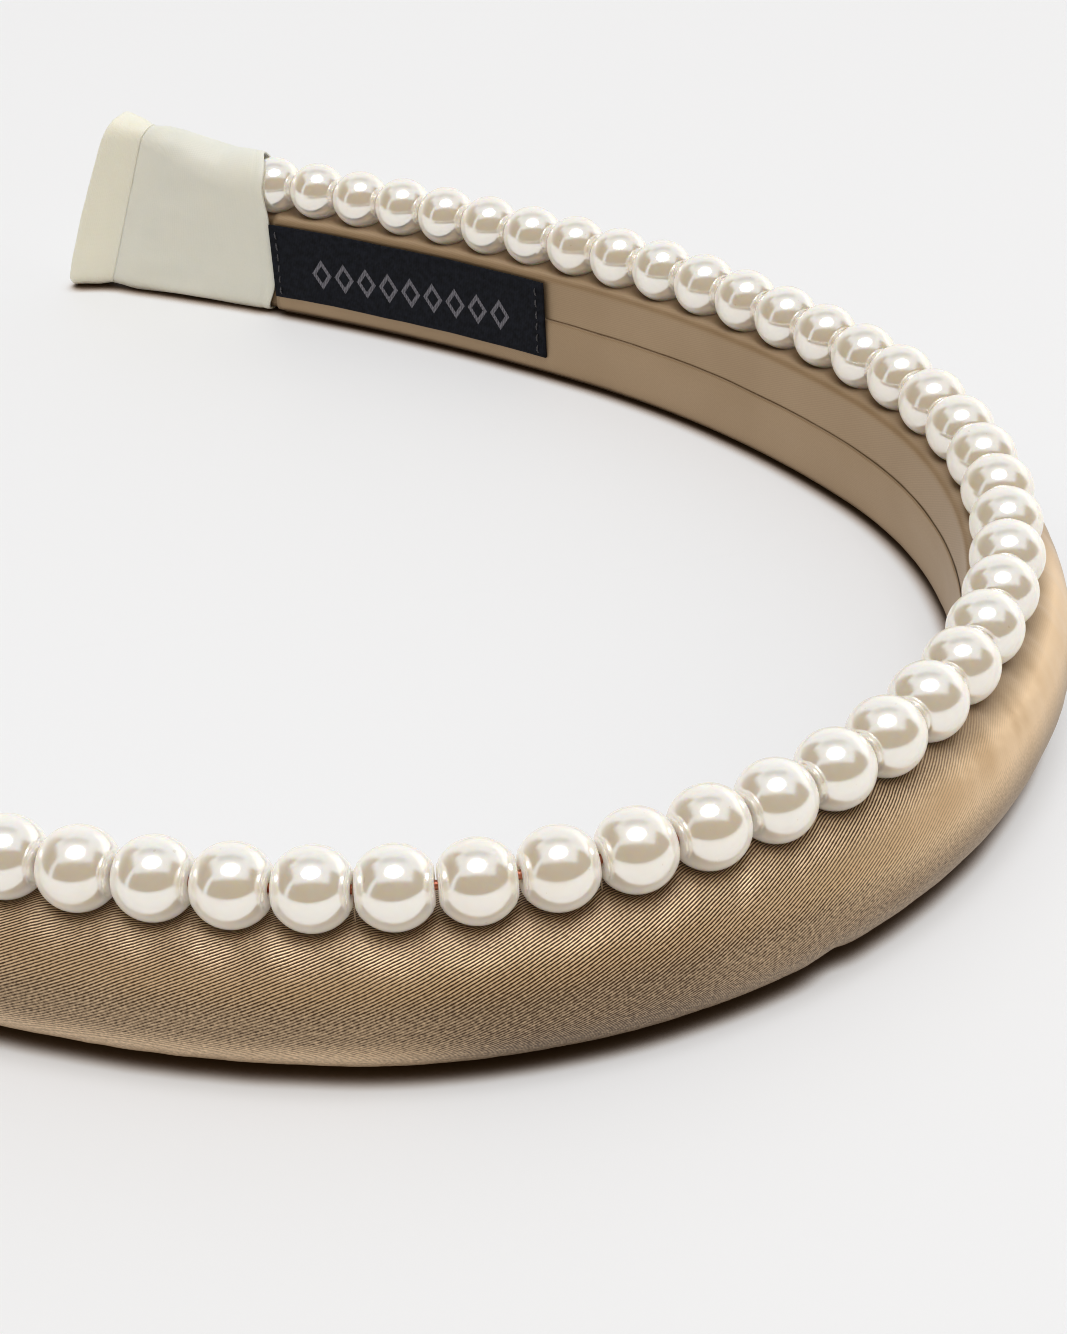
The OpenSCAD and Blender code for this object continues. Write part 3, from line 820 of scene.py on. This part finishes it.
def wrap_lip(side):
    """Turned lip: flares, rolls over its free edge and closes inside."""
    cols = 140
    start = hull_path(box_circles(TIP_IN, TIP_OUT, FLARE_H / math.cos(FLARE_LEAN), 2.1))
    wide = hull_path(box_circles(TIP_IN - 1, TIP_OUT + 1, LIP_H / math.cos(LIP_LEAN), 2.6))
    _, vs, total = sample_path(start, cols)
    # along the outside, round the free edge and back inside: distance from the wrap, and offset
    free = LIP_LEN - ROLL
    steps = [(y, -0.40 * float(1 - smooth(-0.3, 2.6, y))) for y in np.linspace(0, free, 24)]
    steps += [(free + ROLL * math.sin(a), ROLL * (math.cos(a) - 1))
              for a in np.linspace(0, math.pi, 10)[1:]]
    steps += [(y, -2 * ROLL) for y in np.linspace(free, 3.2, 10)[1:]]
    ys, gs = np.array(steps).T
    k = np.clip(ys / LIP_LEN, 0, 1)
    sec = even_rings(start, wide, k ** 1.4, cols)
    nrm = np.stack([normals_2d(q) for q in sec])
    Y = np.repeat(ys[:, None], cols, 1)
    K = np.repeat(k[:, None], cols, 1)
    V = np.repeat(vs[None], len(ys), 0)
    seed = 60.0 + 7 * side
    edge = smooth(1.0, LIP_LEN, Y)
    wave = 0.15 * edge * noise_grid(Y / 9, V / 4.5, seed) + gs[:, None]
    lean = FLARE_LEAN + (LIP_LEAN - FLARE_LEAN) * K
    h = sec[..., 1]
    # the lip bows outward a little along its free edge
    belly = 0.5 * edge * np.sin(np.pi * np.clip(h / LIP_H, 0, 1))
    x = sec[..., 0] + nrm[..., 0] * wave - 0.25 * edge ** 2
    z = np.maximum(h * np.cos(lean) + nrm[..., 1] * wave, 0.0)
    pts = end_frame(side, WRAP_LEN + 0.03 + Y - h * np.sin(lean) + belly, x, z)
    us = np.arange(len(ys)) * 0.4
    name = "wrap_lip_" + SIDES[side]
    ob = loft(name + "_ribbon", pts, us, vs, total, LIP_PAINTED_LIGHT)
    return riding(ob, side, name)


# ---------------------------------------------------------------- label
def label():
    path, vs, total = sample_path(hull_path(box_circles(0, LABEL_T, LABEL_H, 0.12)), 72)
    s = np.linspace(LABEL_END - LABEL_L, LABEL_END, 121)
    S, off, z = section_grid(s, path)
    off = -INNER - 0.74 + off
    z = LABEL_Z + z
    # it sinks a little between its edges
    ends = np.minimum(S - s[0], s[-1] - S)
    middle = smooth(0.4, 2.0, ends) * smooth(0, 2, z - LABEL_Z) * smooth(0, 2, LABEL_Z + LABEL_H - z)
    off += 0.05 * noise_grid(S / 6, z / 4, 71.0) - 0.06 * middle
    z += LABEL_LIFT + 0.10 * noise_grid(S / 9, z * 0, 73.0)
    ob = loft("woven_label", place(S, off, z)[:, ::-1], s, vs, total, LABEL)
    # UVs: along the band and up from the lower edge, so the motif stays level
    me = ob.data
    co = np.empty(len(me.vertices) * 3)
    me.vertices.foreach_get("co", co)
    height = co.reshape(-1, 3)[:, 2] / MM - LABEL_Z
    corners = np.empty(len(me.loops), int)
    me.loops.foreach_get("vertex_index", corners)
    uv = np.empty(len(me.loops) * 2)
    layer = me.uv_layers["weave"].data
    layer.foreach_get("uv", uv)
    uv[1::2] = height[corners]
    layer.foreach_set("uv", uv)
    return riding(ob, 1, "label")


def label_threads():
    """Short stitches across the label's two ends."""
    length, points = 0.95, 8
    zs = np.linspace(0, length, points)
    # thinner at both ends, where it goes into the cloth
    radius = 0.09 * MM * np.sin(np.pi * np.linspace(0.06, 0.94, points)) ** 0.5
    off = -INNER - 0.80 - 0.12 * np.sin(np.pi * zs / length)
    verts, faces = [], []
    for s in (LABEL_END - LABEL_L + 1, LABEL_END - 1):
        for k in range(6):
            line = place(s + 0.06 * np.sin(zs * 3 + k), off, LABEL_Z + 0.8 + k * 1.5 + zs)
            stitch = tube("stitch", line, radius, 8, DARK_THREAD)
            me = stitch.data
            faces += [tuple(v + len(verts) for v in p.vertices) for p in me.polygons]
            verts += [v.co.copy() for v in me.vertices]
            bpy.data.objects.remove(stitch)
            bpy.data.meshes.remove(me)
    ob = mesh_object("label_threads", verts, faces, None, DARK_THREAD)
    return riding(ob, 1, "label_stitches")


cover()
seam_flap()
core_strip()
foam_pad()
copper_wire()
beads("pearls_left", BEAD_S[:BEADS], "beads_left")
beads("pearls_right", BEAD_S[BEADS:], "beads_right")
couching_threads()
for side in (-1, 1):
    end_wrap(side)
    wrap_lip(side)
label()
label_threads()
# the crimps, hidden inside the wraps, stay as they come from the frame
for name in ("wire_crimp_left", "wire_crimp_right"):
    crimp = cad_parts[name]
    crimp.data.materials.clear()
    crimp.data.materials.append(STEEL)

# ---------------------------------------------------------------- table, lights, world
lines = (-60.0, -3.0, 3.0, 60.0)  # so wide that a low view hardly sees its edge
squares = [(k, k + 4, k + 5, k + 1) for k in (0, 1, 2, 4, 5, 6, 8, 9, 10)]
table = mesh_object("table", [(x, y, 0) for x in lines for y in lines], squares)
m = Mat("table_white")
soft_tone = m.noise(m.object_coords(), 3.0, 2.0)
# painted light: the table glows a little, except right against the object
open_sky = m.occlusion(2.1 * MM, 12)
clear = m.ramp(open_sky, 0.42, 0.95)
white = m.mix(soft_tone, rgba(0.487, 0.493, 0.497), rgba(0.507, 0.513, 0.517))
# painted contact shadow: near the object the table's colour turns a warm dark brown
warm = m.mix(m.ramp(open_sky, 0.30, 0.70), rgba(0.10, 0.07, 0.05), rgba(0.40, 0.31, 0.24))
m.set(Base_Color=m.mix(m.ramp(open_sky, 0.55, 0.97), warm, white), Roughness=0.55,
      Specular_IOR_Level=0.25, Emission_Color=rgba(0.985, 0.985, 0.99),
      Emission_Strength=m.mul(clear, 0.38))
table.data.materials.append(m.m)

YAW, TILT, CAM_ROLL = math.radians(35.74), math.radians(33.16), math.radians(-3.29)
CAM_AT = Vector((APEX_X + 71.85, -159.81, 132.47)) * MM
right = Vector((math.cos(YAW), math.sin(YAW), 0))
ahead = Vector((-math.sin(YAW), math.cos(YAW), 0))
fwd = ahead * math.cos(TILT) - Vector((0, 0, math.sin(TILT)))
up = ahead * math.sin(TILT) + Vector((0, 0, math.cos(TILT)))
cam_x = right * math.cos(CAM_ROLL) + up * math.sin(CAM_ROLL)
cam_y = up * math.cos(CAM_ROLL) - right * math.sin(CAM_ROLL)
cam_data = bpy.data.cameras.new("camera")
cam_data.lens = 65.57
cam_data.sensor_width = 36
cam_data.clip_start = 0.01
camera = bpy.data.objects.new("camera", cam_data)
bpy.context.scene.collection.objects.link(camera)
rot = Matrix((cam_x, cam_y, -fwd)).transposed().to_4x4()
camera.matrix_world = Matrix.Translation(CAM_AT) @ rot
bpy.context.scene.camera = camera

TARGET = Vector((0.03, -0.01, 0.01))


def area_light(name, azimuth, elevation, distance, width, height, radiance, color, shape="RECTANGLE"):
    """Azimuth is from the camera's side, positive to the camera's right."""
    a, e = math.radians(azimuth), math.radians(elevation)
    d = -ahead * math.cos(a) + right * math.sin(a)
    d = d * math.cos(e) + Vector((0, 0, math.sin(e)))
    data = bpy.data.lights.new(name, "AREA")
    data.shape = shape
    data.size, data.size_y = width, height
    data.energy = radiance * math.pi * width * height
    data.color = color
    ob = bpy.data.objects.new(name, data)
    bpy.context.scene.collection.objects.link(ob)
    ob.location = TARGET + d * distance
    ob.rotation_euler = d.to_track_quat("Z", "Y").to_euler()
    return ob


area_light("softbox", 8, 78, 1.5, 1.14, 0.82, 3.5, (0.97, 0.99, 1.04), "ELLIPSE")
fill = area_light("fill_right", 80, 28, 1.3, 0.9, 0.5, 1.0, (1.0, 0.985, 0.96))
fill.visible_glossy = False

world = bpy.data.worlds.new("studio")
bpy.context.scene.world = world
world.use_nodes = True


class World(Mat):
    """The world's nodes, with the same short names."""

    def __init__(self, w):
        self.nt = w.node_tree
        self.bg = self.nt.nodes["Background"]

    def band(self, value, lo, hi, edge):
        """1 between lo and hi, with soft edges."""
        return self.mul(self.ramp(value, lo - edge, lo + edge),
                        self.ramp(value, hi - edge, hi + edge, 1.0, 0.0))


w = World(world)
sep = w.node("ShaderNodeSeparateXYZ")
w.wire(w.node("ShaderNodeTexCoord").outputs["Generated"], sep.inputs[0])
dx, dy, dz = sep.outputs
toward = w.add(w.mul(dx, -ahead.x), w.mul(dy, -ahead.y))
sideways = w.add(w.mul(dx, right.x), w.mul(dy, right.y))
bearing = w.math("ARCTAN2", sideways, toward)
climb = w.math("ARCTAN2", dz, toward)
# a warm dim room on the near side, with a pale post at its left
room = w.mul(w.band(bearing, -2.50, 1.80, 0.10), w.ramp(dz, 0.01, 0.05))
room = w.mul(room, w.ramp(dz, 0.78, 0.94, 1.0, 0.0))
room = w.mul(room, w.sub(1.0, w.band(bearing, -1.25, -1.05, 0.06)))
# a large pale diffuser round the softbox, with a greyer frame
panel = w.mul(w.band(sideways, -0.67, 0.74, 0.09), w.band(climb, 0.94, 2.20, 0.10))
rim_bar = w.mul(w.band(sideways, -0.40, 0.44, 0.12), w.band(climb, 1.86, 2.14, 0.09))
white, khaki = rgba(0.76, 0.775, 0.80), rgba(0.29, 0.195, 0.080)
sky = w.mix(room, white, khaki)
sky = w.mix(panel, sky, rgba(0.74, 0.74, 0.745))
sky = w.mix(rim_bar, sky, rgba(0.45, 0.45, 0.44))
# a brighter window low behind the crown
window = w.mul(w.band(bearing, 1.95, 2.70, 0.20), w.band(dz, -0.05, 0.42, 0.10))
sky = w.mix(window, sky, rgba(1.35, 1.33, 1.28))
w.wire(sky, w.bg.inputs["Color"])
world.cycles.sampling_method = "MANUAL"
world.cycles.sample_map_resolution = 512

scene = bpy.context.scene
scene.view_settings.view_transform = "Standard"
scene.cycles.filter_width = 1.0  # keeps the twill lines sharp
